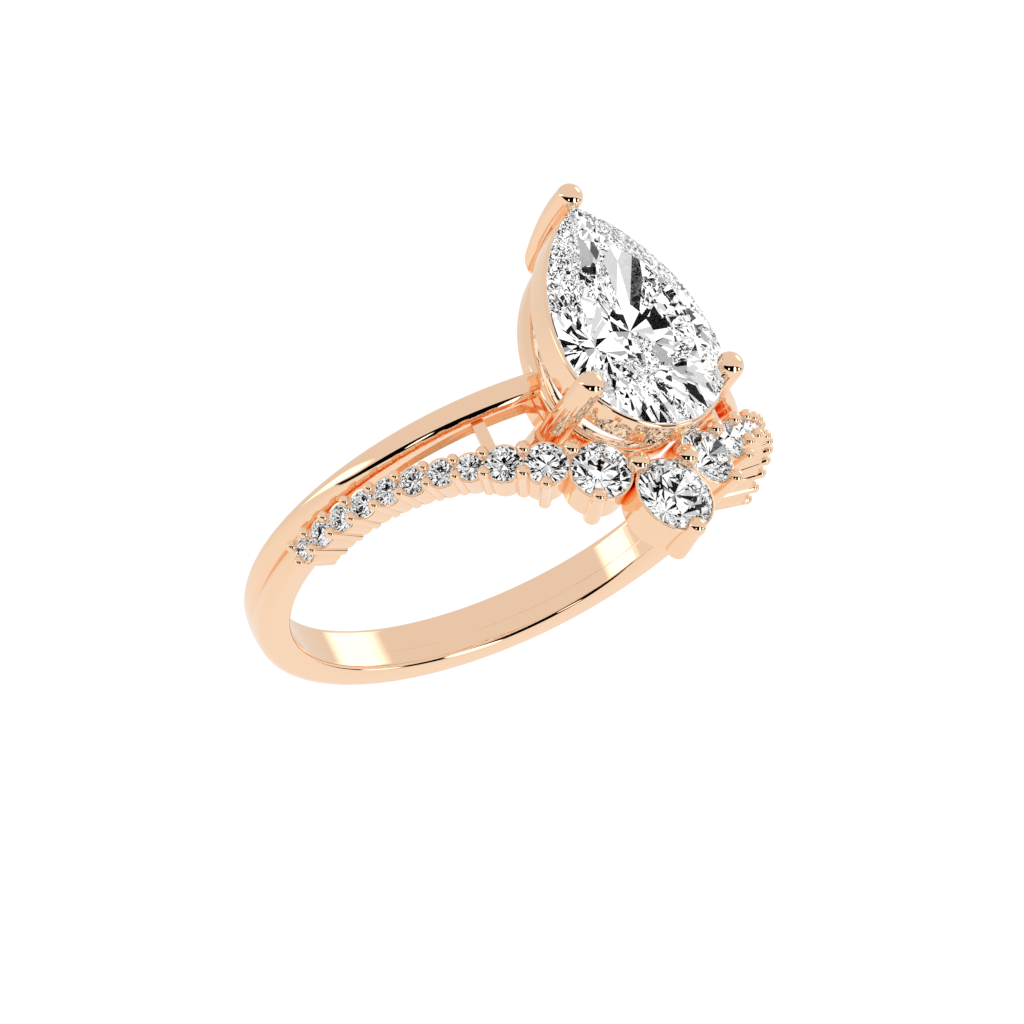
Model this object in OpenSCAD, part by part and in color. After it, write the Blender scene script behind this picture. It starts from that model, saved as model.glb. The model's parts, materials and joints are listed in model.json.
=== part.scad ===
// Engagement ring: a pear-cut diamond in a three-prong basket on a plain rear band,
// fused to a front band that rises into a tiara of graduated round diamonds.
// Millimetres. The finger hole runs along Y through the origin and +Z points up
// through the pear. The tiara swings forward, towards -Y.

/* [Finger] */
// Inside radius of the band
finger_r = 8.25; // [8:0.05:8.5]

/* [Bands] */
// Distance of the rear band's rear face from the middle of the finger hole's wall
rear_y = 0.88; // [0.85:0.01:0.95]
// Distance of the seam between the rear and the front band, forward of the middle
seam_y = 0.2; // [0.1:0.01:0.3]
// Distance of the front band's front face, forward of the middle
front_y = 0.9; // [0.85:0.01:0.95]
// Thickness of both bands at the crown
band_t = 1.28; // [1.2:0.02:1.36]
// Radius of the bands' rounded long edges
edge_r = 0.26; // [0.2:0.01:0.3]
// Slope of the rear band's front flank above the finger's middle
flank_slope = 0.028; // [0.02:0.001:0.035]

/* [Pear diamond] */
// Width across the round end
pear_w = 6.6; // [6.4:0.1:6.8]
// Length from the round end to the tip
pear_l = 9.3; // [9.2:0.05:9.4]
// How far the widest line lies forward of the middle of the band
pear_forward = 0.25; // [0.1:0.05:0.25]
// Height of the girdle above the finger hole's wall
pear_lift = 3.3; // [3.2:0.05:3.5]
// Height of the crown above the girdle
pear_crown = 0.95; // [0.8:0.05:1.1]
// Depth of the pavilion below the girdle
pear_pavilion = 2.8; // [2.6:0.05:2.9]
// Height of the girdle's edge
girdle_h = 0.08; // [0.06:0.01:0.12]
// How far the culet lies behind the middle of the band
culet_y = 0.5; // [0.3:0.05:0.7]

/* [Basket] */
// Height of the upper rail
upper_rail_h = 1.2; // [1:0.05:1.3]
// Thickness of both rails' walls
rail_t = 0.6; // [0.55:0.05:0.7]
// How far the upper rail stands outside the girdle
upper_rail_out = 0.08; // [0:0.01:0.12]
// How far the lower rail's outside lies inside the girdle
lower_rail_in = 0.35; // [0.35:0.05:0.5]
// Height of the lower rail
lower_rail_h = 0.82; // [0.7:0.02:0.9]
// Gap between the lower rail and the top of the finger hole
lower_rail_gap = 0.06; // [0.04:0.01:0.1]
// Radius of the side prongs
prong_r = 0.53; // [0.45:0.01:0.55]
// Angle of the side prongs from the widest line, round the round end
prong_angle = 25; // [23:1:28]
// Radius of the tip prong
tip_prong_r = 0.5; // [0.46:0.01:0.52]
// Bend radius of the tip prong
tip_bend_r = 6.2; // [6:0.1:6.4]
// How far the tip prong's ball stands beyond the pear's tip
tip_prong_out = 0.36; // [0.34:0.01:0.4]
// How much wider the tip prong grows at its foot
tip_foot = 0.1; // [0.04:0.01:0.12]

/* [Tiara] */
// Diameters of the round diamonds, from the middle of the tiara outwards
accent_d = [2.96, 2.24, 1.62, 1.36, 1, 1, 1, 1, 1, 1, 1, 1];
// Angles of the four largest round diamonds from the top of the ring
large_angle = [0, 14.1, 24.4, 32.7];
// Angle of the first small round diamond
small_angle = 39.4; // [39:0.1:40]
// Angle from one small round diamond to the next
small_pitch = 6.07; // [6.05:0.01:6.2]
// Height of the round diamonds' girdles above the finger hole's wall
accent_lift = 1.45; // [1.4:0.01:1.5]
// How far the row's straight ends lie forward of the middle of the band
row_forward = 0.9; // [0.88:0.01:0.93]
// How much further forward the middle of the tiara reaches
tiara_reach = 4.46; // [4.44:0.02:4.6]
// Angle from the top at which the row starts to swing forward
swing_angle = 75; // [72:1:78]
// Wall of the collets round the diamonds
collet_wall = 0.09; // [0.08:0.01:0.1]
// How much a collet's radius shrinks for each millimetre of its depth
collet_taper = 0.05; // [0.04:0.01:0.1]
// Side of the square bars between the rear band and the tiara
bar_w = 0.46; // [0.4:0.02:0.5]
// Angle of those bars from the top of the ring
bar_angle = 33.5; // [33:0.1:34]
// Height of the beads' centres above the round diamonds' girdles
bead_lift = 0.25; // [0.22:0.01:0.28]

/* [Hidden] */
$fn = 48;
accents = len(accent_d) - 1;
band_out_r = finger_r + band_t;
girdle_r = finger_r + accent_lift;
skin = 0.02;
pear_a = pear_w / 2;
pear_tip = pear_l - pear_a;
pear_side_r = (pear_tip * pear_tip + pear_a * pear_a) / (2 * pear_a);
pear_z = finger_r + pear_lift;
upper_top = pear_z - girdle_h;
lower_bottom = finger_r + lower_rail_gap;
lower_top = lower_bottom + lower_rail_h;
prong_x = (pear_a + 0.09) * cos(prong_angle);
prong_y = -pear_forward - (pear_a + 0.09) * sin(prong_angle);
prong_top = pear_z + 0.24;
tip_y = pear_tip - pear_forward + tip_prong_out;
tip_top = prong_top - 0.2;
gold = [0.96, 0.79, 0.65];
diamond = [0.92, 0.94, 0.97, 0.6];

// ---- The tiara's line, unrolled round the finger: angle a, forward position y ----

// Angle of round diamond i from the top
function accent_a(i) = i < 4 ? large_angle[i] : small_angle + (i - 4) * small_pitch;

// Y of the row at angle a
function row_y(a) = -row_forward - tiara_reach * pow(max(0, 1 - a / swing_angle), 2);

// Unrolled centre of diamond i: distance round the girdle circle, and y
function flat(i) = [girdle_r * accent_a(i) * PI / 180, row_y(accent_a(i))];

// Unit vector square to a 2D vector, on its rear side for a run away from the top
function across(v) = [-v[1], v[0]] / norm(v);

// Radius of the bead that diamonds i and i + 1 share
function bead_r(i) = 0.08 + 0.0675 * (accent_d[i] + accent_d[min(i + 1, accents)]);

// Unrolled place of the bead between diamonds i and i + 1, rear (1) or front (-1):
// it stands the same distance outside both girdles
function shared_bead(i, face) =
    let (a = flat(i), b = flat(i + 1), d = norm(b - a), grip = 0.55 * bead_r(i),
        la = accent_d[i] / 2 + grip, lb = accent_d[i + 1] / 2 + grip,
        along = (d * d + la * la - lb * lb) / (2 * d),
        rise = sqrt(la * la - along * along))
    a + (b - a) / d * along + across(b - a) * rise * face;

// Unrolled place of the bead beyond the last diamond
function end_bead(face) =
    flat(accents) + [0.27, 0.33 * face];

function bead_at(i, face) = i < accents ? shared_bead(i, face) : end_bead(face);

// Unrolled place of the single claw in front of diamond i
function claw_at(i) =
    let (a = accent_a(i), run = i == 0 ? [1, 0] : [1, (row_y(a + 1) - row_y(a - 1))
        / (girdle_r * 2 * PI / 180)])
    flat(i) - across(run) * (accent_d[i] / 2 + 0.09);

function claw_r(i) = 0.12 + 0.08 * accent_d[i];

// Puts children, built up Z from the finger's middle, at an unrolled place
module at_flat(p) {
    translate([0, p[1], 0]) rotate([0, p[0] / girdle_r * 180 / PI, 0]) children();
}

// Mirrors children to the left side of the ring
module sided(side) {
    mirror([side == "left" ? 1 : 0, 0, 0]) children();
}

// ---- Bands ----

// Cross-section of one band from y0 to y1, as radius against y. An edge that meets
// the other band has no rounding on the finger's side.
module band_section(y0, y1, round_low, round_high) {
    shoulder = band_t - 0.12;
    dome_r = 1.1;
    mid = (y0 + y1) / 2;
    difference() {
        translate([finger_r, y0]) square([shoulder - edge_r, y1 - y0]);
        if (round_low) inner_edge(y0, 1);
        if (round_high) inner_edge(y1, -1);
    }
    translate([finger_r, y0 + edge_r]) square([shoulder, y1 - y0 - 2 * edge_r]);
    for (y = [y0 + edge_r, y1 - edge_r])
        translate([finger_r + shoulder - edge_r, y]) circle(edge_r);
    intersection() {
        translate([band_out_r - dome_r, mid]) circle(dome_r);
        translate([finger_r + 0.5, y0 + edge_r]) square([band_t, y1 - y0 - 2 * edge_r]);
    }
}

// What the finger-side rounding takes off the edge at y, inwards along dir
module inner_edge(y, dir) {
    difference() {
        translate([finger_r - 1, dir > 0 ? y - 1 : y - edge_r])
            square([1 + edge_r, 1 + edge_r]);
        translate([finger_r + edge_r, y + dir * edge_r]) circle(edge_r);
    }
}

// Sweeps children, a section of radius against y, from angle a0 to a1 round the finger
module around_finger(a0, a1) {
    rotate([-90, 0, 0]) rotate([0, 0, a0 - 90]) rotate_extrude(angle = a1 - a0, $fn = 180)
        children();
}

module main_blank() {
    difference() {
        around_finger(14, 346) band_section(-seam_y, rear_y, false, true);
        rotate([-atan(flank_slope), 0, 0])
            translate([-15, -seam_y - 3, 0]) cube([30, 3, 15]);
    }
}

module main_shank() {
    color(gold) difference() {
        main_blank();
        pear_prism(-lower_rail_in, 0, 15);
    }
}

module front_band() {
    last = accent_a(accents) + 3.2;
    color(gold) difference() {
        around_finger(last, 360 - last) band_section(-front_y, -seam_y, true, false);
        for (side = ["left", "right"]) sided(side) {
            collet_blank(accents);
            for (face = [-1, 1]) bead_stem(accents, face);
        }
    }
}

// ---- Diamonds ----

// Distance from the culet to the pear's outline at angle a, for an outline grown by g
function pear_reach(a, g) =
    let (dir = [abs(cos(a)), sin(a)], origin = [0, culet_y + pear_forward],
        side = circle_reach(dir, origin, [pear_a - pear_side_r, 0], pear_side_r + g),
        round_end = circle_reach(dir, origin, [0, 0], pear_a + g))
    origin[1] + side * dir[1] >= 0 ? side : round_end;

// Distance from p along the unit vector dir to the circle round c of radius r
function circle_reach(dir, p, c, r) =
    let (w = c - p, b = dir * w) b + sqrt(b * b - w * w + r * r);

// A brilliant cut with n main facets round it. reach holds the girdle's distance from
// the middle at each of 2n directions; the table, star and lower facets are fractions.
module brilliant(n, reach, crown, pavilion, table, edge) {
    star = 0.5 * (1 + table) / cos(90 / n) * 0.985;
    low = 0.24;
    star_z = crown * (1 - star * cos(180 / n)) / (1 - table) * 0.98;
    low_z = -pavilion * (1 - low * cos(180 / n));
    step = 180 / n;
    function ring(f, z, odd) = [for (j = [0:n - 1]) let (k = 2 * j + odd, a = k * step)
        [f * reach[k] * cos(a), f * reach[k] * sin(a), z]];
    girdle = [for (z = [edge / 2, -edge / 2]) for (k = [0:2 * n - 1])
        [reach[k] * cos(k * step), reach[k] * sin(k * step), z]];
    points = concat(ring(table, crown + edge / 2, 0), ring(star, star_z + edge / 2, 1),
        girdle, ring(low, low_z - edge / 2, 1), [[0, 0, -pavilion - edge / 2]],
        [[0, 0, crown + edge / 2]]);
    s0 = n;
    g0 = 2 * n;
    b0 = 4 * n;
    l0 = 6 * n;
    culet = 7 * n;
    top = culet + 1;
    faces = [for (j = [0:n - 1]) let (j1 = (j + 1) % n, k = 2 * j, k1 = (k + 1) % (2 * n),
        k2 = (k + 2) % (2 * n)) each [
        [top, j1, j], [j, j1, s0 + j],
        [j, s0 + j, g0 + k], [s0 + j, j1, g0 + k2],
        [s0 + j, g0 + k1, g0 + k], [s0 + j, g0 + k2, g0 + k1],
        [g0 + k, g0 + k1, b0 + k], [g0 + k1, b0 + k1, b0 + k],
        [g0 + k1, g0 + k2, b0 + k1], [g0 + k2, b0 + k2, b0 + k1],
        [l0 + j, b0 + k, b0 + k1], [l0 + j, b0 + k1, b0 + k2],
        [culet, b0 + k, l0 + j], [culet, l0 + j, b0 + k2]]];
    polyhedron(points, faces);
}

// The pear diamond's solid, with its outline grown by g
module pear_solid(g) {
    translate([0, culet_y, pear_z]) brilliant(12, [for (k = [0:23]) pear_reach(k * 15, g)],
        pear_crown + g, pear_pavilion + g, 0.56, girdle_h + g);
}

module pear_diamond() {
    color(diamond) pear_solid(0);
}

// Round diamond i, up Z from the finger's middle
module accent_solid(i) {
    d = accent_d[i];
    translate([0, 0, girdle_r]) rotate([0, 0, 11.25])
        brilliant(8, [for (k = [0:15]) d / 2], 0.15 * d, 0.41 * d, 0.56, 0.02 * d);
}

// The room that round diamond i takes, with a hair of clearance
module accent_space(i) {
    r = accent_d[i] / 2 + 0.012;
    translate([0, 0, girdle_r]) {
        translate([0, 0, 0.015]) cylinder(h = 0.36 * r, r1 = r, r2 = 0.62 * r);
        translate([0, 0, -0.03 * r]) cylinder(h = 0.03 * r + 0.015, r = r);
        translate([0, 0, -0.87 * r - 0.02]) cylinder(h = 0.84 * r + 0.02, r1 = 0, r2 = r);
    }
}

// Cone cut into a collet for round diamond i's pavilion, from under the girdle's edge
module seat(i) {
    depth = 0.43 * accent_d[i] + 0.02;
    translate([0, 0, girdle_r - 0.01 * accent_d[i] - depth])
        cylinder(h = depth, r1 = 0, r2 = accent_d[i] / 2 + 0.012);
}

module accent(side, i) {
    color(diamond) sided(side) at_flat(flat(i)) accent_solid(i);
}

// ---- Basket ----

// The pear's outline grown by g, as true arcs
module pear_outline(g) {
    circle(pear_a + g);
    intersection() {
        translate([pear_a - pear_side_r, 0]) circle(pear_side_r + g, $fn = 180);
        translate([pear_side_r - pear_a, 0]) circle(pear_side_r + g, $fn = 180);
        translate([-pear_w, 0]) square([2 * pear_w, pear_l]);
    }
}

module pear_prism(g, z0, z1) {
    translate([0, -pear_forward, z0]) linear_extrude(z1 - z0) pear_outline(g);
}

// The finger hole with a hair of clearance: only the two bands touch the finger
module finger_space() {
    rotate([90, 0, 0]) cylinder(h = 40, r = finger_r + skin, center = true, $fn = 180);
}

// A side prong on the right, before the stone's notch is cut
module prong_blank() {
    translate([prong_x, prong_y, finger_r - 1]) cylinder(h = prong_top - finger_r + 1, r = prong_r);
    translate([prong_x, prong_y, prong_top]) sphere(prong_r);
}

// The tip prong, which bends out from the lower rail, before the notch is cut. Each ring
// is [y, z, tilt, radius].
module tip_prong_blank() {
    sides = 24;
    bend_z = tip_top - 0.4;
    cap = [for (t = [18:18:90]) [tip_y, tip_top + tip_prong_r * cos(t), 0, tip_prong_r * sin(t)]];
    bend = [for (t = [0:5:30]) [tip_y - tip_bend_r * (1 - cos(t)), bend_z - tip_bend_r * sin(t),
        t, tip_prong_r + tip_foot * pow(t / 30, 3)]];
    rings = concat(cap, bend);
    last = len(rings) - 1;
    polyhedron(
        points = concat([[0, tip_y, tip_top + tip_prong_r]],
            [for (g = rings, j = [0:sides - 1]) let (u = j * 360 / sides)
                [g[3] * cos(u), g[0] + g[3] * sin(u) * cos(g[2]), g[1] + g[3] * sin(u) * sin(g[2])]]),
        faces = concat(
            [for (j = [0:sides - 1]) [0, 1 + (j + 1) % sides, 1 + j]],
            [for (k = [0:last - 1], j = [0:sides - 1]) let (n = (j + 1) % sides, a = 1 + k * sides)
                [a + j, a + n, a + sides + n, a + sides + j]],
            [[for (j = [0:sides - 1]) 1 + last * sides + j]]),
        convexity = 4);
}

module upper_gallery_rail() {
    color(gold) difference() {
        pear_prism(upper_rail_out, upper_top - upper_rail_h, upper_top);
        pear_prism(upper_rail_out - rail_t, upper_top - 2, upper_top + 1);
        pear_solid(0.03);
        for (side = ["left", "right"]) sided(side) prong_blank();
        tip_prong_blank();
    }
}

module lower_gallery_rail() {
    color(gold) difference() {
        pear_prism(-lower_rail_in, lower_bottom, lower_top);
        pear_prism(-lower_rail_in - rail_t, lower_bottom - 1, lower_top + 1);
        for (side = ["left", "right"]) sided(side) prong_blank();
        tip_prong_blank();
    }
}

module tip_prong() {
    color(gold) difference() {
        tip_prong_blank();
        pear_prism(0.02, pear_z - 0.2, pear_z + 0.2);
        finger_space();
    }
}

module side_prong(side) {
    color(gold) sided(side) difference() {
        prong_blank();
        pear_solid(0.02);
        finger_space();
    }
}

// Wall under the lower rail from the rear band to a side prong's base, with the pad
// that ties the base to the tiara's second collet
module prong_foot(side) {
    pad_top = lower_bottom + 0.3;
    pad_w = 0.8;
    pad_l = 1.2;
    pad_turn = 58;
    wall_front = prong_y - 0.7;
    color(gold) sided(side) difference() {
        union() {
            intersection() {
                pear_prism(-lower_rail_in, finger_r - 1.5, lower_bottom);
                translate([0, wall_front, 0]) cube([4, seam_y - wall_front + 0.2, 10]);
            }
            translate([prong_x, prong_y, finger_r - 1.5])
                cylinder(h = pad_top - finger_r + 1.5, r = prong_r + 0.1);
            translate([prong_x, prong_y, finger_r - 1.5]) rotate([0, 0, -pad_turn])
                translate([0, -pad_w / 2, 0]) cube([pad_l, pad_w, pad_top - finger_r + 1.5]);
        }
        pear_prism(-lower_rail_in - rail_t, 0, lower_top);
        pear_prism(-lower_rail_in, lower_bottom, lower_top);
        finger_space();
        prong_blank();
        main_shank();
        for (i = [1:3]) collet_blank(i);
        for (i = [1:3]) bead_stem(i, 1);
    }
}

// Square bar from the rear band's front flank to the rear bead before the small diamonds
module bridge_bar(side) {
    color(gold) sided(side) difference() {
        rotate([0, bar_angle, 0]) translate([-bar_w / 2, -2, finger_r + 0.35])
            cube([bar_w, 2.3, bar_w]);
        main_blank();
        for (i = [3:4]) at_flat(flat(i)) collet_cone(i);
        for (i = [2:3]) bead_stem(i, 1);
    }
}

// ---- Tiara ----

// Solid cone of the collet round diamond i, up Z from the finger's middle
module collet_cone(i) {
    depth = girdle_r - 0.04 - finger_r - skin;
    r = accent_d[i] / 2 + collet_wall;
    translate([0, 0, finger_r + skin]) cylinder(h = depth, r1 = r - collet_taper * depth, r2 = r);
}

module collet_blank(i) {
    at_flat(flat(i)) collet_cone(i);
}

// Light hole under diamond i
module light_hole(i) {
    cylinder(h = girdle_r, r = 0.27 * accent_d[i]);
}

// Stem of a post at an unrolled place
module stem(place, r) {
    at_flat(place) translate([0, 0, finger_r + skin])
        cylinder(h = accent_lift + bead_lift - skin, r = r, $fn = 32);
}

// Stem of bead i's post, on the rear (1) or front (-1) side
module bead_stem(i, face) {
    stem(bead_at(i, face), 0.88 * bead_r(i));
}

module claw_stem(i) {
    stem(claw_at(i), 0.97 * claw_r(i));
}

module ball(place, r) {
    at_flat(place) translate([0, 0, girdle_r + bead_lift]) sphere(r, $fn = 32);
}

// Collet of large diamond i, cut back where its neighbours and the posts stand
module collet(i) {
    difference() {
        collet_blank(i);
        for (k = [max(0, i - 1):i + 1]) at_flat(flat(k)) seat(k);
        at_flat(flat(i)) light_hole(i);
        if (i > 0) collet_blank(i - 1);
        for (k = [max(0, i - 1):i]) bead_stem(k, 1);
        for (k = [max(2, i - 1):max(2, i)]) bead_stem(k, -1);
        if (i < 3) claw_stem(i);
    }
}

module centre_collet() {
    color(gold) difference() {
        collet(0);
        sided("left") {
            at_flat(flat(1)) seat(1);
            bead_stem(0, 1);
        }
    }
}

module side_collet(side, i) {
    color(gold) sided(side) collet(i);
}

// Row of small collets that share their walls
module pave_bed(side) {
    first = 4;
    color(gold) sided(side) difference() {
        union() for (i = [first:accents]) collet_blank(i);
        for (i = [first - 1:accents]) at_flat(flat(i)) seat(i);
        for (i = [first:accents]) at_flat(flat(i)) light_hole(i);
        collet_blank(first - 1);
        for (i = [first - 1:accents]) for (face = [-1, 1]) bead_stem(i, face);
    }
}

module centre_claw() {
    color(gold) difference() {
        union() {
            claw_stem(0);
            ball(claw_at(0), claw_r(0));
        }
        at_flat(flat(0)) accent_space(0);
    }
}

module claws(side) {
    color(gold) sided(side) for (i = [1:2]) difference() {
        union() {
            claw_stem(i);
            ball(claw_at(i), claw_r(i));
        }
        at_flat(flat(i)) accent_space(i);
    }
}

// Row of posts with ball tips on one side of the tiara
module beads(side, face) {
    color(gold) sided(side) for (i = [face > 0 ? 0 : 2:accents]) difference() {
        union() {
            bead_stem(i, face);
            ball(bead_at(i, face), bead_r(i));
        }
        for (k = [i:min(i + 1, accents)]) at_flat(flat(k)) accent_space(k);
    }
}

main_shank();
front_band();
pear_diamond();
upper_gallery_rail();
lower_gallery_rail();
tip_prong();
side_prong("left");  // left_prong
side_prong("right");  // right_prong
prong_foot("left");  // left_prong_foot
prong_foot("right");  // right_prong_foot
bridge_bar("left");  // left_bridge_bar
bridge_bar("right");  // right_bridge_bar
centre_collet();
side_collet("left", 1);  // left_collet_1
side_collet("left", 2);  // left_collet_2
side_collet("left", 3);  // left_collet_3
side_collet("right", 1);  // right_collet_1
side_collet("right", 2);  // right_collet_2
side_collet("right", 3);  // right_collet_3
pave_bed("left");  // left_pave_bed
pave_bed("right");  // right_pave_bed
centre_claw();
claws("left");  // left_claws
claws("right");  // right_claws
beads("left", 1);  // left_rear_beads
beads("right", 1);  // right_rear_beads
beads("left", -1);  // left_front_beads
beads("right", -1);  // right_front_beads
accent("right", 0);  // centre_accent
accent("left", 1);  // left_accent_1
accent("left", 2);  // left_accent_2
accent("left", 3);  // left_accent_3
accent("left", 4);  // left_accent_4
accent("left", 5);  // left_accent_5
accent("left", 6);  // left_accent_6
accent("left", 7);  // left_accent_7
accent("left", 8);  // left_accent_8
accent("left", 9);  // left_accent_9
accent("left", 10);  // left_accent_10
accent("left", 11);  // left_accent_11
accent("right", 1);  // right_accent_1
accent("right", 2);  // right_accent_2
accent("right", 3);  // right_accent_3
accent("right", 4);  // right_accent_4
accent("right", 5);  // right_accent_5
accent("right", 6);  // right_accent_6
accent("right", 7);  // right_accent_7
accent("right", 8);  // right_accent_8
accent("right", 9);  // right_accent_9
accent("right", 10);  // right_accent_10
accent("right", 11);  // right_accent_11
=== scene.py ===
import json
import math

import bmesh
import bpy
import numpy as np
from mathutils import Matrix, Vector

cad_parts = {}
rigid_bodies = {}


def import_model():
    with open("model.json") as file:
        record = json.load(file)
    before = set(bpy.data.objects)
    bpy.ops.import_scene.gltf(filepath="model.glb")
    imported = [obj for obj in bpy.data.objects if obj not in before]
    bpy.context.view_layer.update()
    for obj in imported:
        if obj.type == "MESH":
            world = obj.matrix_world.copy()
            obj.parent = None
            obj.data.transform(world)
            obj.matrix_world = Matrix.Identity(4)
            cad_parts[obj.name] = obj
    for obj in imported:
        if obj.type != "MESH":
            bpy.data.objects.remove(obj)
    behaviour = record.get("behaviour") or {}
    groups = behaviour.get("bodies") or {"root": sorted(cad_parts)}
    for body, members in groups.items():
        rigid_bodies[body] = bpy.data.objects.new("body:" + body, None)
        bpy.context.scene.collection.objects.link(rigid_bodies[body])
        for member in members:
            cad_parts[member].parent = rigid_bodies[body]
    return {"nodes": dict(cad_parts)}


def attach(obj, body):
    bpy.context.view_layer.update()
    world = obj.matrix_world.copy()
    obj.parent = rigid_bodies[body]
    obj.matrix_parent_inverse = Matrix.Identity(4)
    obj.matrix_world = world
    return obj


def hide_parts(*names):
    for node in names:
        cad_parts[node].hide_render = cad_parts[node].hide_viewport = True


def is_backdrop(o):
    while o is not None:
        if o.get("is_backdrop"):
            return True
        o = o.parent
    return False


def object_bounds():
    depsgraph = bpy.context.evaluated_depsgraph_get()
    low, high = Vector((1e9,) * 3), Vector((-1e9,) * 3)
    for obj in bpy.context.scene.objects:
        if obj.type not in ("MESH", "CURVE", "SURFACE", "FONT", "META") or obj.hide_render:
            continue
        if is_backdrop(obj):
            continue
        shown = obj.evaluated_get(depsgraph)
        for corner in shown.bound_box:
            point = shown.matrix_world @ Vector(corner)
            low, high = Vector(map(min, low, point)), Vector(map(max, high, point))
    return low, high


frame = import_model()
cad_low, cad_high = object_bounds()

# ---- Dimensions in millimetres, as in the part's own source ----

MM = 0.001
FINGER_R = 8.25
REAR_Y, SEAM_Y, FRONT_Y = 0.88, -0.2, -0.9
BAND_T = 1.28
PEAR_A = 3.3
PEAR_TIP = 6.0
PEAR_SIDE_R = (PEAR_TIP ** 2 + PEAR_A ** 2) / (2 * PEAR_A)
PEAR_SHIFT = -0.25
PEAR_Z = 11.55
GIRDLE_H = 0.08
LOWER_Z0, LOWER_Z1, LOWER_IN = 8.31, 9.13, 0.35
UPPER_Z1 = PEAR_Z - GIRDLE_H
UPPER_Z0, UPPER_OUT = UPPER_Z1 - 1.2, 0.08
RAIL_T = 0.6
PRONG_R, PRONG_ANGLE, PRONG_TOP = 0.53, math.radians(25), PEAR_Z + 0.24
PRONG_X = (PEAR_A + 0.09) * math.cos(PRONG_ANGLE)
PRONG_Y = PEAR_SHIFT - (PEAR_A + 0.09) * math.sin(PRONG_ANGLE)
TIP_R, TIP_FOOT, TIP_BEND = 0.5, 0.1, 6.2
TIP_Y, TIP_TOP = PEAR_TIP + PEAR_SHIFT + 0.36, PRONG_TOP - 0.2
ACCENT_D = [2.96, 2.24, 1.62, 1.36] + [1.0] * 8
LARGE_ANGLE = [0, 14.1, 24.4, 32.7]
SMALL_ANGLE, SMALL_PITCH = 39.4, 6.07
GIRDLE_R = FINGER_R + 1.45
BEAD_R = GIRDLE_R + 0.25
ROW_FORWARD, REACH, SWING = 0.9, 4.46, 75
WALL, TAPER = 0.09, 0.05
LAST = len(ACCENT_D) - 1


# ---- Camera: parallel projection from above the ring's front left ----

VIEW_DIR = Vector((0.58488, 0.39112, -0.71059))
VIEW_UP = Vector((0.11345, 0.82801, 0.54912))
VIEW_RIGHT = Vector((0.80314, -0.40179, 0.43992))
VIEW_WIDTH = 36.367 * MM
AIM = VIEW_RIGHT * (0.6121 * MM) + VIEW_UP * (0.2480 * MM)

cam_data = bpy.data.cameras.new("camera")
cam_data.type = "ORTHO"
cam_data.ortho_scale = VIEW_WIDTH
cam_data.clip_start, cam_data.clip_end = 0.001, 2.0
camera = bpy.data.objects.new("camera", cam_data)
bpy.context.scene.collection.objects.link(camera)
turn = Matrix((VIEW_RIGHT, VIEW_UP, -VIEW_DIR)).transposed().to_4x4()
camera.matrix_world = Matrix.Translation(AIM - VIEW_DIR * 0.12) @ turn
bpy.context.scene.camera = camera


# ---- Materials ----

def new_material(name):
    mat = bpy.data.materials.new(name)
    mat.use_nodes = True
    nodes, links = mat.node_tree.nodes, mat.node_tree.links
    return mat, nodes, links, nodes["Principled BSDF"]


def polished_gold(name, rough_low, rough_high, bump, scale=2600.0):
    """Rose gold: mirror polish with faint polishing marks in its roughness and bump."""
    mat, nodes, links, shader = new_material(name)
    shader.inputs["Metallic"].default_value = 1.0
    shader.inputs["Base Color"].default_value = (0.975, 0.68, 0.465, 1)
    coords = nodes.new("ShaderNodeTexCoord")
    noise = nodes.new("ShaderNodeTexNoise")
    noise.inputs["Scale"].default_value = scale
    noise.inputs["Detail"].default_value = 3.0
    links.new(coords.outputs["Object"], noise.inputs["Vector"])
    spread = nodes.new("ShaderNodeMapRange")
    spread.inputs["To Min"].default_value = rough_low
    spread.inputs["To Max"].default_value = rough_high
    links.new(noise.outputs["Fac"], spread.inputs["Value"])
    links.new(spread.outputs["Result"], shader.inputs["Roughness"])
    relief = nodes.new("ShaderNodeBump")
    relief.inputs["Strength"].default_value = bump
    relief.inputs["Distance"].default_value = 2e-6
    links.new(noise.outputs["Fac"], relief.inputs["Height"])
    links.new(relief.outputs["Normal"], shader.inputs["Normal"])
    return mat


def cut_diamond(name, clear):
    """Colourless diamond: sharp facets, with a trace of polish grain. clear is how much
    light comes through; below 1 it is painted shade, greying the stone so it renders dimmer."""
    mat, nodes, links, shader = new_material(name)
    shader.inputs["Base Color"].default_value = (clear, clear, clear, 1)
    shader.inputs["IOR"].default_value = 2.417
    shader.inputs["Transmission Weight"].default_value = 1.0
    shader.inputs["Specular IOR Level"].default_value = 0.02
    shader.inputs["Specular Tint"].default_value = (0.02, 0.02, 0.02, 1)
    coords = nodes.new("ShaderNodeTexCoord")
    noise = nodes.new("ShaderNodeTexNoise")
    noise.inputs["Scale"].default_value = 900.0
    links.new(coords.outputs["Object"], noise.inputs["Vector"])
    spread = nodes.new("ShaderNodeMapRange")
    spread.inputs["To Min"].default_value = 0.0
    spread.inputs["To Max"].default_value = 0.004
    links.new(noise.outputs["Fac"], spread.inputs["Value"])
    links.new(spread.outputs["Result"], shader.inputs["Roughness"])
    return mat


GOLD = polished_gold("rose_gold_polished", 0.02, 0.05, 0.15)
SATIN = polished_gold("rose_gold_cast", 0.05, 0.11, 0.3, 4200.0)
DIAMOND = cut_diamond("diamond_clear", 1.0)
# The small stones' grey base colour is painted shade: the same diamond, made to render dimmer.
SHADED_SMALL_DIAMOND = cut_diamond("diamond_small_painted_shade", 0.86)


# ---- Mesh helpers. Everything is built in millimetres and scaled once placed ----

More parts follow.
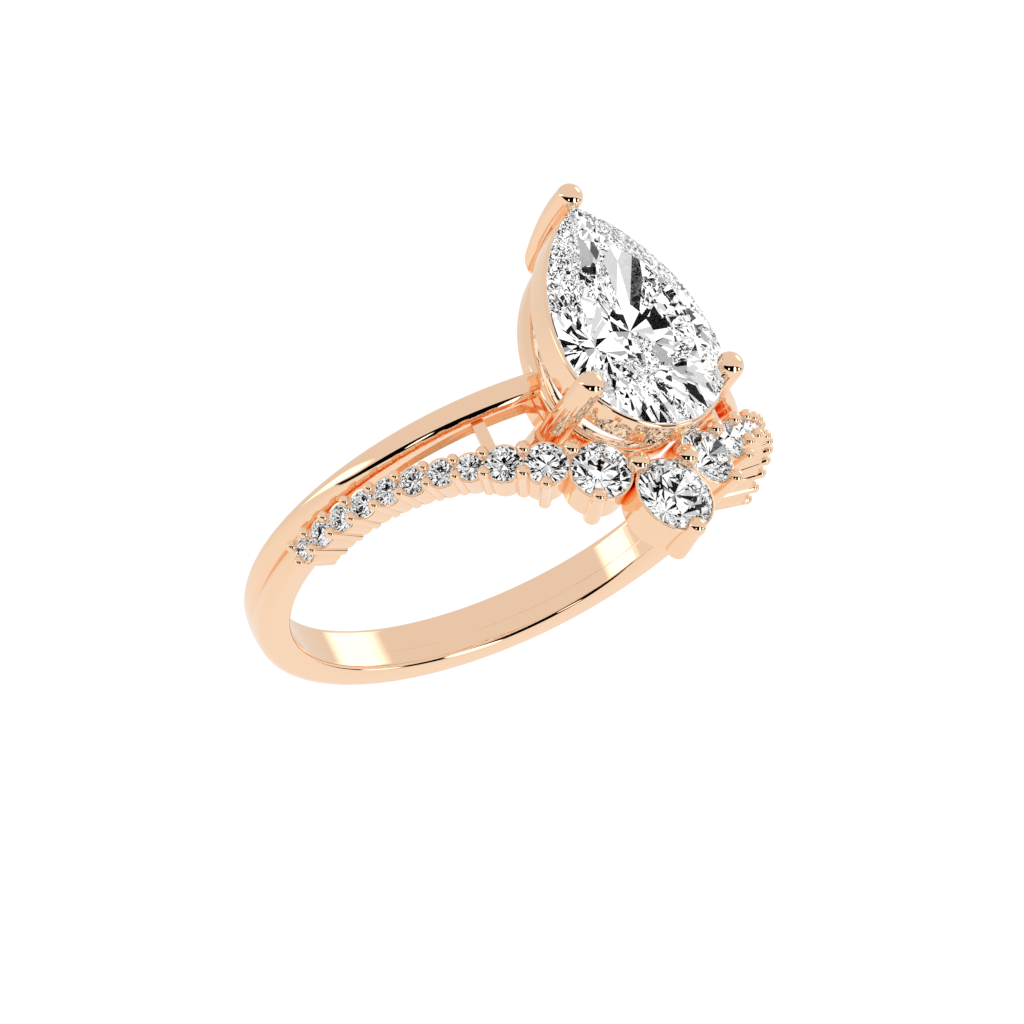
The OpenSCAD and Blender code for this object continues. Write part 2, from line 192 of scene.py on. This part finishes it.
def bare(name, verts, faces):
    mesh = bpy.data.meshes.new(name)
    mesh.from_pydata([tuple(map(float, v)) for v in verts], [], [tuple(map(int, f)) for f in faces])
    mesh.validate()
    obj = bpy.data.objects.new(name, mesh)
    bpy.context.scene.collection.objects.link(obj)
    bm = bmesh.new()
    bm.from_mesh(mesh)
    bmesh.ops.recalc_face_normals(bm, faces=bm.faces)
    bm.to_mesh(mesh)
    bm.free()
    return obj


def grid_faces(rows, cols, close_rows, close_cols, first=0):
    faces = []
    for i in range(rows if close_rows else rows - 1):
        for j in range(cols if close_cols else cols - 1):
            a, b = i, (i + 1) % rows
            c, d = j, (j + 1) % cols
            faces.append([first + a * cols + c, first + a * cols + d,
                          first + b * cols + d, first + b * cols + c])
    return faces


def loft(name, rings, closed):
    """A skin over closed rings of equal length, capped at both ends unless it closes."""
    rings = np.asarray(rings, float)
    rows, cols = rings.shape[:2]
    faces = grid_faces(rows, cols, closed, True)
    if not closed:
        faces += [list(range(cols))[::-1], [(rows - 1) * cols + j for j in range(cols)]]
    return bare(name, rings.reshape(-1, 3), faces)


def lathe(name, profile, sides=64):
    """Turns an open profile of (radius, z), from axis to axis, about Z."""
    body = [p for p in profile if p[0] > 1e-9]
    verts = [(r * math.cos(t), r * math.sin(t), z) for r, z in body
             for t in np.linspace(0, 2 * math.pi, sides, endpoint=False)]
    faces = grid_faces(len(body), sides, False, True)
    for end, row in ((profile[0], 0), (profile[-1], len(body) - 1)):
        ring = [row * sides + j for j in range(sides)]
        if end[0] > 1e-9:
            faces.append(ring)
        else:
            verts.append((0, 0, end[1]))
            faces += [[ring[j], ring[(j + 1) % sides], len(verts) - 1] for j in range(sides)]
    return bare(name, verts, faces)


def arc(centre, r, a0, a1, steps):
    """Points of an arc in (radius, z), angles in degrees."""
    return [(centre[0] + r * math.cos(t), centre[1] + r * math.sin(t))
            for t in np.radians(np.linspace(a0, a1, steps))]


def cut(obj, cutters, operation="DIFFERENCE"):
    """Applies exact booleans and removes the cutters."""
    for c in cutters:
        m = obj.modifiers.new("cut", "BOOLEAN")
        m.object, m.operation, m.solver = c, operation, "EXACT"
    graph = bpy.context.evaluated_depsgraph_get()
    mesh = bpy.data.meshes.new_from_object(obj.evaluated_get(graph))
    obj.modifiers.clear()
    obj.data = mesh
    for c in cutters:
        bpy.data.objects.remove(c)
    return obj


def joined(name, objs):
    """One object that holds the meshes of several, each already in place."""
    bm = bmesh.new()
    for o in objs:
        o.data.transform(o.matrix_basis)
        bm.from_mesh(o.data)
        bpy.data.objects.remove(o)
    mesh = bpy.data.meshes.new(name)
    bm.to_mesh(mesh)
    bm.free()
    out = bpy.data.objects.new(name, mesh)
    bpy.context.scene.collection.objects.link(out)
    return out


def piece(obj, material, nodes, crease=32.0, flat=False):
    """Scales a finished mesh to metres and makes it a piece of the ring."""
    obj.data.transform(obj.matrix_basis)
    obj.matrix_basis = Matrix.Identity(4)
    obj.data.transform(Matrix.Diagonal((MM, MM, MM, 1)))
    obj.data.materials.clear()
    obj.data.materials.append(material)
    if flat:
        obj.data.shade_flat()
    else:
        obj.data.shade_smooth()
        obj.data.set_sharp_from_angle(angle=math.radians(crease))
    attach(obj, "root")
    if nodes:
        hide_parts(*nodes)
    return obj


def mirrored(obj, name):
    """A mirror image of a mesh on the ring's other side."""
    copy = bpy.data.objects.new(name, obj.data.copy())
    bpy.context.scene.collection.objects.link(copy)
    copy.data.transform(obj.matrix_basis)
    copy.data.transform(Matrix.Diagonal((-1, 1, 1, 1)))
    copy.data.flip_normals()
    return copy


# ---- The tiara's line, unrolled round the finger ----

def accent_a(i):
    return LARGE_ANGLE[i] if i < 4 else SMALL_ANGLE + (i - 4) * SMALL_PITCH


def row_y(a):
    return -ROW_FORWARD - REACH * max(0.0, 1 - a / SWING) ** 2


def flat(i):
    return np.array([GIRDLE_R * math.radians(accent_a(i)), row_y(accent_a(i))])


def across(v):
    return np.array([-v[1], v[0]]) / np.linalg.norm(v)


def bead_size(i):
    return 0.08 + 0.0675 * (ACCENT_D[i] + ACCENT_D[min(i + 1, LAST)])


def bead_at(i, face):
    if i == LAST:
        return flat(LAST) + np.array([0.27, 0.33 * face])
    a, b = flat(i), flat(i + 1)
    d = np.linalg.norm(b - a)
    grip = 0.55 * bead_size(i)
    la, lb = ACCENT_D[i] / 2 + grip, ACCENT_D[i + 1] / 2 + grip
    along = (d * d + la * la - lb * lb) / (2 * d)
    return a + (b - a) / d * along + across(b - a) * math.sqrt(la * la - along * along) * face


def claw_at(i):
    a = accent_a(i)
    run = np.array([1.0, 0.0]) if i == 0 else np.array(
        [1.0, (row_y(a + 1) - row_y(a - 1)) / (GIRDLE_R * math.radians(2))])
    return flat(i) - across(run) * (ACCENT_D[i] / 2 + 0.09)


def claw_size(i):
    return 0.12 + 0.08 * ACCENT_D[i]


def placing(p, spin=0.0):
    """Matrix that stands a thing built up Z from the finger's middle at an unrolled place."""
    return (Matrix.Translation((0, float(p[1]), 0))
            @ Matrix.Rotation(float(p[0]) / GIRDLE_R, 4, "Y") @ Matrix.Rotation(spin, 4, "Z"))


def placed(obj, p, spin=0.0):
    obj.data.transform(placing(p, spin))
    return obj


# ---- Pear outline: offset g, parameter s from the left side round the round end ----

def pear_point(s, g):
    s %= 1.0
    if s < 0.5:
        t = math.pi * (1 + 2 * s)
        x, y = (PEAR_A + g) * math.cos(t), (PEAR_A + g) * math.sin(t)
    else:
        end = math.acos((PEAR_SIDE_R - PEAR_A) / (PEAR_SIDE_R + g))
        t = (s - 0.5) / 0.25 if s < 0.75 else (1 - s) / 0.25
        x = PEAR_A - PEAR_SIDE_R + (PEAR_SIDE_R + g) * math.cos(t * end)
        y = (PEAR_SIDE_R + g) * math.sin(t * end)
        if s > 0.75:
            x = -x
    return x, y + PEAR_SHIFT


def rail(name, outer, profile, samples=160):
    rings = [[(*pear_point(k / samples, outer - u), z) for u, z in profile]
             for k in range(samples)]
    return loft(name, rings, True)


def rounded_box(u0, u1, z0, z1, radii, steps=7):
    """Closed (u, z) profile with its own radius at each corner, from low outside."""
    corners = [(u0, z0, 180), (u1, z0, 270), (u1, z1, 0), (u0, z1, 90)]
    inward = [(1, 1), (-1, 1), (-1, -1), (1, -1)]
    out = []
    for (u, z, a), (du, dz), r in zip(corners, inward, radii):
        out += arc((u + du * r, z + dz * r), r, a, a + 90, steps)
    return out


# ---- Diamonds ----

def brilliant(name, n, reach, crown, pavilion, table, edge, tiers):
    """A brilliant cut. tiers are the fractions, and the odd or even turn, of the points
    between the pavilion's girdle and its culet."""
    step = math.pi / n
    verts = []

    def ring(f, z, odd):
        start = len(verts)
        for j in range(n):
            k = 2 * j + odd
            verts.append((f * reach[k] * math.cos(k * step), f * reach[k] * math.sin(k * step), z))
        return [start + j for j in range(n)]

    star = 0.5 * (1 + table) / math.cos(step / 2) * 0.985
    star_z = crown * (1 - star * math.cos(step)) / (1 - table) * 0.98
    t = ring(table, crown + edge / 2, 0)
    s = ring(star, star_z + edge / 2, 1)
    top_ring, low_ring = [], []
    for z, store in ((edge / 2, top_ring), (-edge / 2, low_ring)):
        for k in range(2 * n):
            store.append(len(verts))
            verts.append((reach[k] * math.cos(k * step), reach[k] * math.sin(k * step), z))
    faces = [t]
    for j in range(n):
        j1, k, k1, k2 = (j + 1) % n, 2 * j, (2 * j + 1) % (2 * n), (2 * j + 2) % (2 * n)
        faces += [[t[j], s[j], t[j1]], [t[j], top_ring[k], s[j]], [s[j], top_ring[k2], t[j1]],
                  [s[j], top_ring[k], top_ring[k1]], [s[j], top_ring[k1], top_ring[k2]],
                  [top_ring[k], low_ring[k], low_ring[k1], top_ring[k1]],
                  [top_ring[k1], low_ring[k1], low_ring[k2], top_ring[k2]]]
    first = ring(tiers[0][0], -pavilion * tiers[0][1] - edge / 2, 1)
    for j in range(n):
        k, k1, k2 = 2 * j, (2 * j + 1) % (2 * n), (2 * j + 2) % (2 * n)
        faces += [[first[j], low_ring[k1], low_ring[k]], [first[j], low_ring[k2], low_ring[k1]]]
    culet = len(verts)
    verts.append((0, 0, -pavilion - edge / 2))
    if len(tiers) == 1:
        for j in range(n):
            k2 = (2 * j + 2) % (2 * n)
            faces += [[culet, first[j], low_ring[2 * j]], [culet, low_ring[k2], first[j]]]
    else:
        second = ring(tiers[1][0], -pavilion * tiers[1][1] - edge / 2, 0)
        for j in range(n):
            j1, k2 = (j + 1) % n, (2 * j + 2) % (2 * n)
            faces += [[first[j], low_ring[2 * j], second[j]], [first[j], second[j1], low_ring[k2]],
                      [first[j], second[j], second[j1]], [culet, second[j1], second[j]]]
    return bare(name, verts, faces)


def circle_reach(direction, p, c, r):
    w = np.subtract(c, p)
    b = float(np.dot(direction, w))
    return b + math.sqrt(b * b - float(w @ w) + r * r)


def pear_reach(angle, g, centre):
    """Distance from the culet to the pear's outline in one direction."""
    d = np.array([abs(math.cos(angle)), math.sin(angle)])
    origin = np.array([0.0, centre])
    side = circle_reach(d, origin, (PEAR_A - PEAR_SIDE_R, 0), PEAR_SIDE_R + g)
    return side if origin[1] + side * d[1] >= 0 else circle_reach(d, origin, (0, 0), PEAR_A + g)


CULET_Y = 0.5


def pear_stone(name, g, n=16, tiers=((0.58, 0.46), (0.26, 0.80))):
    reach = [pear_reach(k * math.pi / n, g, CULET_Y - PEAR_SHIFT) for k in range(2 * n)]
    stone = brilliant(name, n, reach, 0.95 + g, 2.8 + g, 0.56, GIRDLE_H + g, tiers)
    stone.data.transform(Matrix.Translation((0, CULET_Y, PEAR_Z)))
    return stone


def round_stone(name, i):
    d = ACCENT_D[i]
    stone = brilliant(name, 8, [d / 2] * 16, 0.155 * d, 0.425 * d, 0.56, 0.02 * d, ((0.24, 0.76),))
    stone.data.transform(Matrix.Translation((0, 0, GIRDLE_R)))
    return stone


# ---- Bands ----

def smooth_step(x):
    x = min(1.0, max(0.0, x))
    return x * x * (3 - 2 * x)


def dome(y, y0, y1, thick, corner):
    """Outer radius of a band between y0 and y1 at y: a low dome with rounded shoulders."""
    mid, half = (y0 + y1) / 2, (y1 - y0) / 2
    sag = 0.13 * half / 0.9
    r = FINGER_R + thick - sag * ((y - mid) / half) ** 2
    for edge in (y - y0, y1 - y):
        if edge < corner:
            x = (corner - edge) / corner
            r -= corner * (1 - math.sqrt(max(0.0, 1 - x * x)))
    return r


def band_ring(theta, y0, y1, own, low_round, high_round, at):
    """Closed section of one band at angle theta from the top; theta is not used, as at does the placing.
    own is 1 where the band keeps its own dome and 0 where both bands share one. at places a point (r, y)."""
    whole0, whole1 = FRONT_Y, REAR_Y
    ys = y0 + (y1 - y0) * (1 - np.cos(np.linspace(0, math.pi, 41))) / 2
    outer = [(own * dome(y, y0, y1, BAND_T, 0.26 if y < SEAM_Y else 0.36)
              + (1 - own) * dome(y, whole0, whole1, BAND_T, 0.34), y) for y in ys]
    section = list(outer)
    for y, rounding, sign in ((y1, high_round, -1), (y0, low_round, 1)):
        fillet = [(FINGER_R + rounding * (1 - math.sin(t)), y + sign * rounding * (1 - math.cos(t)))
                  for t in np.radians(np.linspace(0, 90, 9))]
        fillet.append((FINGER_R, fillet[-1][1] + sign * 0.02))
        section += fillet if sign < 0 else fillet[::-1]
    return [at(r, y) for r, y in section]


def around(theta):
    """Places (r, y) at an angle from the top, towards +X."""
    return lambda r, y: (r * math.sin(theta), y, r * math.cos(theta))


def own_dome(theta):
    """How far each band keeps its own dome: fully beside the tiara, not at all below."""
    degrees = math.degrees(theta)
    degrees = min(degrees, 360 - degrees)
    return 1 - smooth_step((degrees - 88) / 34)


HEAD_X = 2.74
steps = 240
rings = []
for k in range(steps + 1):
    share = k / steps

    def at(r, y, share=share):
        start = math.asin(HEAD_X / r)
        theta = start + share * (2 * math.pi - 2 * start)
        z = r * math.cos(theta)
        return (r * math.sin(theta), y if y > SEAM_Y + 0.02 or z < 0 else y + 0.028 * max(0.0, z), z)

    nominal = math.asin(HEAD_X / 9.0)
    theta = nominal + share * (2 * math.pi - 2 * nominal)
    low = 1 - smooth_step((min(theta, 2 * math.pi - theta) - math.radians(112)) / math.radians(30))
    rings.append(band_ring(theta, SEAM_Y, REAR_Y, own_dome(theta), 0.004 + 0.012 * low, 0.22, at))
piece(loft("rear_band", rings, False), GOLD, ["main_shank"])

front_end = math.radians(accent_a(LAST) + 1.2)
rings = []
for theta in np.linspace(front_end, 2 * math.pi - front_end, 201):
    rings.append(band_ring(theta, FRONT_Y, SEAM_Y - 0.0005, own_dome(theta), 0.22, 0.004,
                           around(theta)))
piece(loft("front_band_fine", rings, False), GOLD, ["front_band"])


# ---- Basket ----

lower = rail("lower_rail", -LOWER_IN, rounded_box(0, RAIL_T, LOWER_Z0, LOWER_Z1, (0.12, 0.1, 0.12, 0.3)))
piece(lower, GOLD, ["lower_gallery_rail"])
upper = rail("upper_rail", UPPER_OUT, rounded_box(0, RAIL_T, UPPER_Z0, UPPER_Z1 + 0.03,
                                                   (0.12, 0.1, 0.05, 0.17)))
cut(upper, [pear_stone("seat_cutter", 0.012)])
piece(upper, GOLD, ["upper_gallery_rail"])


def capsule(name, r, z0, z1, low=0.0, sides=64, stem=1.0):
    """A post from z0 up to a ball centred at z1, its foot rounded by low."""
    foot = r * stem
    profile = [(0.0, z0)] if low <= 0 else []
    if low > 0:
        profile += [(0.0, z0)] + arc((foot - low, z0 + low), low, -90, 0, 8)
    else:
        profile += [(foot, z0)]
    if stem < 1:
        meet = math.sqrt(max(0.0, 1 - stem * stem)) * r
        start = -math.degrees(math.asin(meet / r))
        profile += arc((0, z1), r, start, 88, 24)
    else:
        profile += [(foot, z1)] + arc((0, z1), r, 4, 88, 20)
    profile += [(0.0, z1 + r)]
    return lathe(name, profile, sides)


def finger_cutter():
    drill = lathe("drill", [(FINGER_R, -20), (FINGER_R, 20)], 240)
    drill.data.transform(Matrix.Rotation(math.pi / 2, 4, "X"))
    return drill


prong = capsule("right_prong_fine", PRONG_R, FINGER_R - 0.2, PRONG_TOP)
prong.data.transform(Matrix.Translation((PRONG_X, PRONG_Y, 0)))
cut(prong, [pear_stone("notch", 0.012), finger_cutter()])
left = mirrored(prong, "left_prong_fine")
piece(prong, GOLD, ["right_prong"])
piece(left, GOLD, ["left_prong"])

sides = 56
bend_z = TIP_TOP - 0.4
rings = []
for t in np.radians(np.linspace(4, 90, 18)):
    rings.append((TIP_Y, TIP_TOP + TIP_R * math.cos(t), 0, TIP_R * math.sin(t)))
for degrees in list(np.linspace(0, 25, 26)) + list(np.linspace(25.5, 28.65, 14)):
    t = math.radians(degrees)
    round_off = math.sqrt(max(0.0, 1 - (max(0.0, degrees - 25.5) / 3.2) ** 2))
    rings.append((TIP_Y - TIP_BEND * (1 - math.cos(t)), bend_z - TIP_BEND * math.sin(t), t,
                  (TIP_R + TIP_FOOT * (degrees / 30) ** 3) * round_off))
rings = [[(r * math.cos(u), y + r * math.sin(u) * math.cos(t), z + r * math.sin(u) * math.sin(t))
          for u in np.linspace(0, 2 * math.pi, sides, endpoint=False)] for y, z, t, r in rings]
tip = loft("tip_prong_fine", rings, False)
cut(tip, [pear_stone("notch", 0.012), finger_cutter()])
piece(tip, GOLD, ["tip_prong"])

# ---- Tiara: collets ----


def cup(name, i):
    """Collet of round diamond i, with a rounded foot, a fine rim and a drilled seat."""
    r = ACCENT_D[i] / 2 + WALL
    top, low = GIRDLE_R - 0.02, FINGER_R + 0.03
    depth = top - low
    foot = r - TAPER * depth
    soft = 0.12
    hole = 0.27 * ACCENT_D[i]
    seat_r = ACCENT_D[i] / 2 + 0.012
    seat_depth = 0.43 * ACCENT_D[i] + 0.02
    girdle = GIRDLE_R - 0.01 * ACCENT_D[i]
    meet = girdle - seat_depth * (1 - hole / seat_r)
    profile = arc((foot - soft, low + soft), soft, -90, 0, 7)
    profile += [(r - 0.03 - TAPER * 0.03, top - 0.03)] + arc((r - 0.03, top - 0.03), 0.03, 10, 90, 5)
    profile += [(seat_r * (1 - (girdle - top) / seat_depth), top), (hole, meet), (hole, low)]
    ring = [(a, b) for a, b in profile]
    verts = [(a * math.cos(t), a * math.sin(t), b) for t in
             np.linspace(0, 2 * math.pi, 72, endpoint=False) for a, b in ring]
    return bare(name, verts, grid_faces(72, len(ring), True, True))


def seat_cutter(i):
    depth = 0.43 * ACCENT_D[i] + 0.02
    girdle = GIRDLE_R - 0.01 * ACCENT_D[i]
    r = ACCENT_D[i] / 2 + 0.012
    return placed(lathe("seat", [(0, girdle - depth), (r, girdle), (r, girdle + 0.4)], 64), flat(i))


def cup_solid(i):
    """Solid outer shape of collet i. Nothing in the script cuts with it."""
    r = ACCENT_D[i] / 2 + WALL - 0.03
    return placed(lathe("room", [(r - TAPER * 1.4, GIRDLE_R - 1.43), (r, GIRDLE_R + 0.1)], 64), flat(i))


for i in range(4):
    body = placed(cup(f"cup_{i}", i), flat(i))
    cutters = [seat_cutter(i + 1)]
    if i == 0:
        other = seat_cutter(1)
        other.data.transform(Matrix.Diagonal((-1, 1, 1, 1)))
        other.data.flip_normals()
        cutters.append(other)
    else:
        cutters.append(seat_cutter(i - 1))
    cut(body, cutters)
    if i == 0:
        body.name = "centre_collet_fine"
        piece(body, GOLD, ["centre_collet"])
    else:
        body.name = f"right_collet_{i}_fine"
        other = mirrored(body, f"left_collet_{i}_fine")
        piece(body, GOLD, [f"right_collet_{i}"])
        piece(other, GOLD, [f"left_collet_{i}"])

cups = []
for i in range(4, LAST + 1):
    body = placed(cup(f"cup_{i}", i), flat(i))
    cups.append(cut(body, [seat_cutter(k) for k in (i - 1, i + 1) if k <= LAST]))
bed = joined("right_pave_bed_fine", cups)
other = mirrored(bed, "left_pave_bed_fine")
piece(bed, GOLD, ["right_pave_bed"])
piece(other, GOLD, ["left_pave_bed"])


# ---- Tiara: posts with ball tips ----

def stone_room(i):
    """Room a round diamond takes out of a bead, as its own outer shape grown a hair."""
    d = ACCENT_D[i]
    r = d / 2 + 0.01
    profile = [(0, GIRDLE_R - 0.86 * r), (r, GIRDLE_R - 0.01 * d), (r, GIRDLE_R + 0.01 * d),
               (0.58 * r, GIRDLE_R + 0.155 * d + 0.01), (0, GIRDLE_R + 0.155 * d + 0.01)]
    return placed(lathe("room", profile, 48), flat(i))


def post(name, place, r, stones, wide=0.0):
    """A post with a ball tip. wide adds a broader foot, flush with the post's front."""
    body = placed(capsule(name, r, FINGER_R + 0.015, BEAD_R, low=0.45 * r, sides=48, stem=0.93), place)
    if wide:
        foot = lathe("foot", [(0, FINGER_R + 0.02)] + arc((wide - 0.15, FINGER_R + 0.17), 0.15, -90, 0, 7)
                     + [(wide - 0.02, GIRDLE_R - 0.75), (0.9 * r, GIRDLE_R + 0.1), (0, GIRDLE_R + 0.1)])
        cut(body, [placed(foot, place + np.array([0, wide - r]))], "UNION")
    return cut(body, [stone_room(k) for k in stones])


for label, face, first in (("rear", 1, 0), ("front", -1, 2)):
    posts = [post("post", bead_at(i, face), bead_size(i), [k for k in (i, i + 1) if k <= LAST])
             for i in range(first, LAST + 1)]
    row = joined(f"right_{label}_beads_fine", posts)
    other = mirrored(row, f"left_{label}_beads_fine")
    piece(row, GOLD, [f"right_{label}_beads"])
    piece(other, GOLD, [f"left_{label}_beads"])

claws = [post("claw", claw_at(i), claw_size(i), [i], (0.44, 0.31, 0.0)[i]) for i in range(3)]
piece(joined("centre_claw_fine", claws[:1]), GOLD, ["centre_claw"])
pair = joined("right_claws_fine", claws[1:])
other = mirrored(pair, "left_claws_fine")
piece(pair, GOLD, ["right_claws"])
piece(other, GOLD, ["left_claws"])


# ---- Diamonds in place ----

for i in range(LAST + 1):
    stone = placed(round_stone(f"right_diamond_{i}", i), flat(i))
    if i == 0:
        stone.name = "centre_round_diamond"
        piece(stone, SHADED_SMALL_DIAMOND, ["centre_accent"], flat=True)
        continue
    other = mirrored(stone, f"left_diamond_{i}")
    piece(stone, SHADED_SMALL_DIAMOND, [f"right_accent_{i}"], flat=True)
    piece(other, SHADED_SMALL_DIAMOND, [f"left_accent_{i}"], flat=True)
piece(pear_stone("pear_diamond_fine", 0.0), DIAMOND, ["pear_diamond"], flat=True)


# ---- CAD nodes that stay: polished metal with softened edges ----

for name, node in frame["nodes"].items():
    if node.hide_render:
        continue
    node.data.materials.clear()
    node.data.materials.append(SATIN)
    soft = node.modifiers.new("soft_edges", "BEVEL")
    soft.width = 0.035 * MM
    soft.segments = 3
    soft.limit_method = "ANGLE"
    soft.angle_limit = math.radians(40)


# ---- Floor, light and surroundings ----

def world_light():
    world = bpy.data.worlds.new("studio")
    bpy.context.scene.world = world
    world.use_nodes = True
    nodes, links = world.node_tree.nodes, world.node_tree.links
    nodes.clear()
    out = nodes.new("ShaderNodeOutputWorld")
    coords = nodes.new("ShaderNodeTexCoord")

    def value(v):
        n = nodes.new("ShaderNodeValue")
        n.outputs[0].default_value = v
        return n.outputs[0]

    def math_node(op, a, b=None):
        n = nodes.new("ShaderNodeMath")
        n.operation = op
        for slot_i, x in enumerate((a, b)):
            if x is None:
                continue
            if isinstance(x, (int, float)):
                n.inputs[slot_i].default_value = x
            else:
                links.new(x, n.inputs[slot_i])
        return n.outputs[0]

    def facing(direction):
        n = nodes.new("ShaderNodeVectorMath")
        n.operation = "DOT_PRODUCT"
        n.inputs[1].default_value = Vector(direction).normalized()
        links.new(coords.outputs["Generated"], n.inputs[0])
        return n.outputs["Value"]

    def mix(base, top, share):
        """base and top are plain levels of grey."""
        a = math_node("MULTIPLY", base, math_node("SUBTRACT", 1.0, share))
        b = math_node("MULTIPLY", top, share)
        return math_node("ADD", a, b)

    def smooth(x, lo, hi):
        """0 below lo and 1 above hi."""
        n = nodes.new("ShaderNodeMapRange")
        n.interpolation_type = "SMOOTHSTEP"
        n.inputs["From Min"].default_value, n.inputs["From Max"].default_value = lo, hi
        links.new(x, n.inputs["Value"])
        return n.outputs[0]

    # The surroundings stand square to the direction from the table's front left corner.
    # across and up are the parts of the normal that mirrors a direction to that corner.
    side, rise, near = facing(VIEW_RIGHT), facing(VIEW_UP), facing(-VIEW_DIR)
    length = math_node("MAXIMUM", 0.05, math_node("SQRT", math_node("MULTIPLY", 2.0,
                                                  math_node("ADD", 1.0001, near))))
    across_part, up_part = math_node("DIVIDE", side, length), math_node("DIVIDE", rise, length)

    def toward(x, y, z):
        return facing(VIEW_RIGHT * x + VIEW_UP * y - VIEW_DIR * z)

    def offset(x, centre, half):
        return math_node("DIVIDE", math_node("SUBTRACT", x, centre), half)

    def square(x):
        return math_node("MULTIPLY", x, x)

    def oval(centre, half, soft):
        reach = math_node("ADD", square(offset(across_part, centre[0], half[0])),
                          square(offset(up_part, centre[1], half[1])))
        return smooth(math_node("SUBTRACT", 1.0, reach), 0.0, soft)

    sky = mix(value(0.96), value(0.83), smooth(rise, -0.3, 0.35))
    # Broad soft lamps, upper right and left
    sky = mix(sky, value(2.0), smooth(toward(0.685, 0.638, -0.352), 0.94, 0.994))
    sky = mix(sky, value(2.0), oval((-0.59, 0.15), (0.19, 0.065), 0.7))
    # A long dark gap, pointed at both ends, with three small lamps in it. It is deep only
    # in what faces it; what is seen through two polished faces is greyer.
    path = nodes.new("ShaderNodeLightPath")
    deep = math_node("SUBTRACT", 1.0, math_node("MULTIPLY", 0.6, math_node(
        "GREATER_THAN", path.outputs["Ray Depth"], 2.5)))
    right_part = square(math_node("MAXIMUM", 0.0, offset(across_part, 0.22, 0.67)))
    left_part = square(math_node("MAXIMUM", 0.0, offset(across_part, 0.22, -0.82)))
    bent = math_node("SUBTRACT", offset(up_part, -0.19, 0.2), math_node("MULTIPLY", 1.5, left_part))
    bow = math_node("ADD", math_node("ADD", right_part, left_part), math_node("ABSOLUTE", bent))
    sky = mix(sky, value(0.0), math_node("MULTIPLY", deep,
                                         smooth(math_node("SUBTRACT", 1.0, bow), 0.0, 0.1)))
    for centre, half in (((0.38, -0.24), (0.09, 0.22)), ((-0.02, -0.2), (0.05, 0.07)),
                         ((0.65, -0.2), (0.07, 0.08))):
        sky = mix(sky, value(2.2), oval(centre, half, 0.3))
    # What the diamonds gather: a field of lamps and dark gaps
    cells = nodes.new("ShaderNodeTexVoronoi")
    cells.inputs["Scale"].default_value = 4.6
    cells.inputs["Randomness"].default_value = 0.9
    links.new(coords.outputs["Generated"], cells.inputs["Vector"])
    ramp = nodes.new("ShaderNodeValToRGB")
    ramp.color_ramp.interpolation = "CONSTANT"
    stops = ((0.0, 0.0), (0.25, 0.45), (0.33, 0.72), (0.48, 1.2))
    ramp.color_ramp.elements[0].position, ramp.color_ramp.elements[1].position = 0.0, 0.25
    while len(ramp.color_ramp.elements) < len(stops):
        ramp.color_ramp.elements.new(0.9)
    for element, (position, level) in zip(ramp.color_ramp.elements, stops):
        element.position = position
        element.color = (level, level, level, 1)
    split = nodes.new("ShaderNodeSeparateColor")
    links.new(cells.outputs["Color"], split.inputs["Color"])
    links.new(split.outputs["Red"], ramp.inputs["Fac"])
    plain = nodes.new("ShaderNodeBackground")
    links.new(sky, plain.inputs["Color"])
    sparkle = nodes.new("ShaderNodeBackground")
    links.new(ramp.outputs["Color"], sparkle.inputs["Color"])
    both = nodes.new("ShaderNodeMixShader")
    links.new(path.outputs["Is Transmission Ray"], both.inputs["Fac"])
    links.new(plain.outputs[0], both.inputs[1])
    links.new(sparkle.outputs[0], both.inputs[2])
    links.new(both.outputs[0], out.inputs["Surface"])


world_light()

floor_size = 0.6
floor = bare("floor", [(-floor_size, -floor_size, 0), (floor_size, -floor_size, 0),
                       (floor_size, floor_size, 0), (-floor_size, floor_size, 0)], [[0, 1, 2, 3]])
floor.location.z = cad_low.z
floor_mat, floor_nodes, floor_links, floor_shader = new_material("floor_white")
floor_shader.inputs["Base Color"].default_value = (0.12, 0.12, 0.12, 1)
floor_shader.inputs["Roughness"].default_value = 0.9
floor_shader.inputs["Specular IOR Level"].default_value = 0.0
floor_shader.inputs["Emission Color"].default_value = (1, 1, 1, 1)
floor_shader.inputs["Emission Strength"].default_value = 1.0
floor.data.materials.append(floor_mat)
floor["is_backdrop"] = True
floor.visible_transmission = False
floor.visible_glossy = False

for o in bpy.context.scene.objects:
    if o.type == "MESH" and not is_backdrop(o) and o.data.materials:
        o.visible_transmission = o.data.materials[0] in (DIAMOND, SHADED_SMALL_DIAMOND)

scene = bpy.context.scene
scene.view_settings.view_transform = "Standard"
scene.cycles.max_bounces = 28
scene.cycles.glossy_bounces = 24
scene.cycles.transmission_bounces = 24
scene.cycles.diffuse_bounces = 2
scene.cycles.blur_glossy = 0.0
scene.cycles.caustics_reflective = False
scene.cycles.caustics_refractive = False
scene.cycles.sample_clamp_indirect = 6.0
scene.cycles.use_denoising = True

low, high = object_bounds()
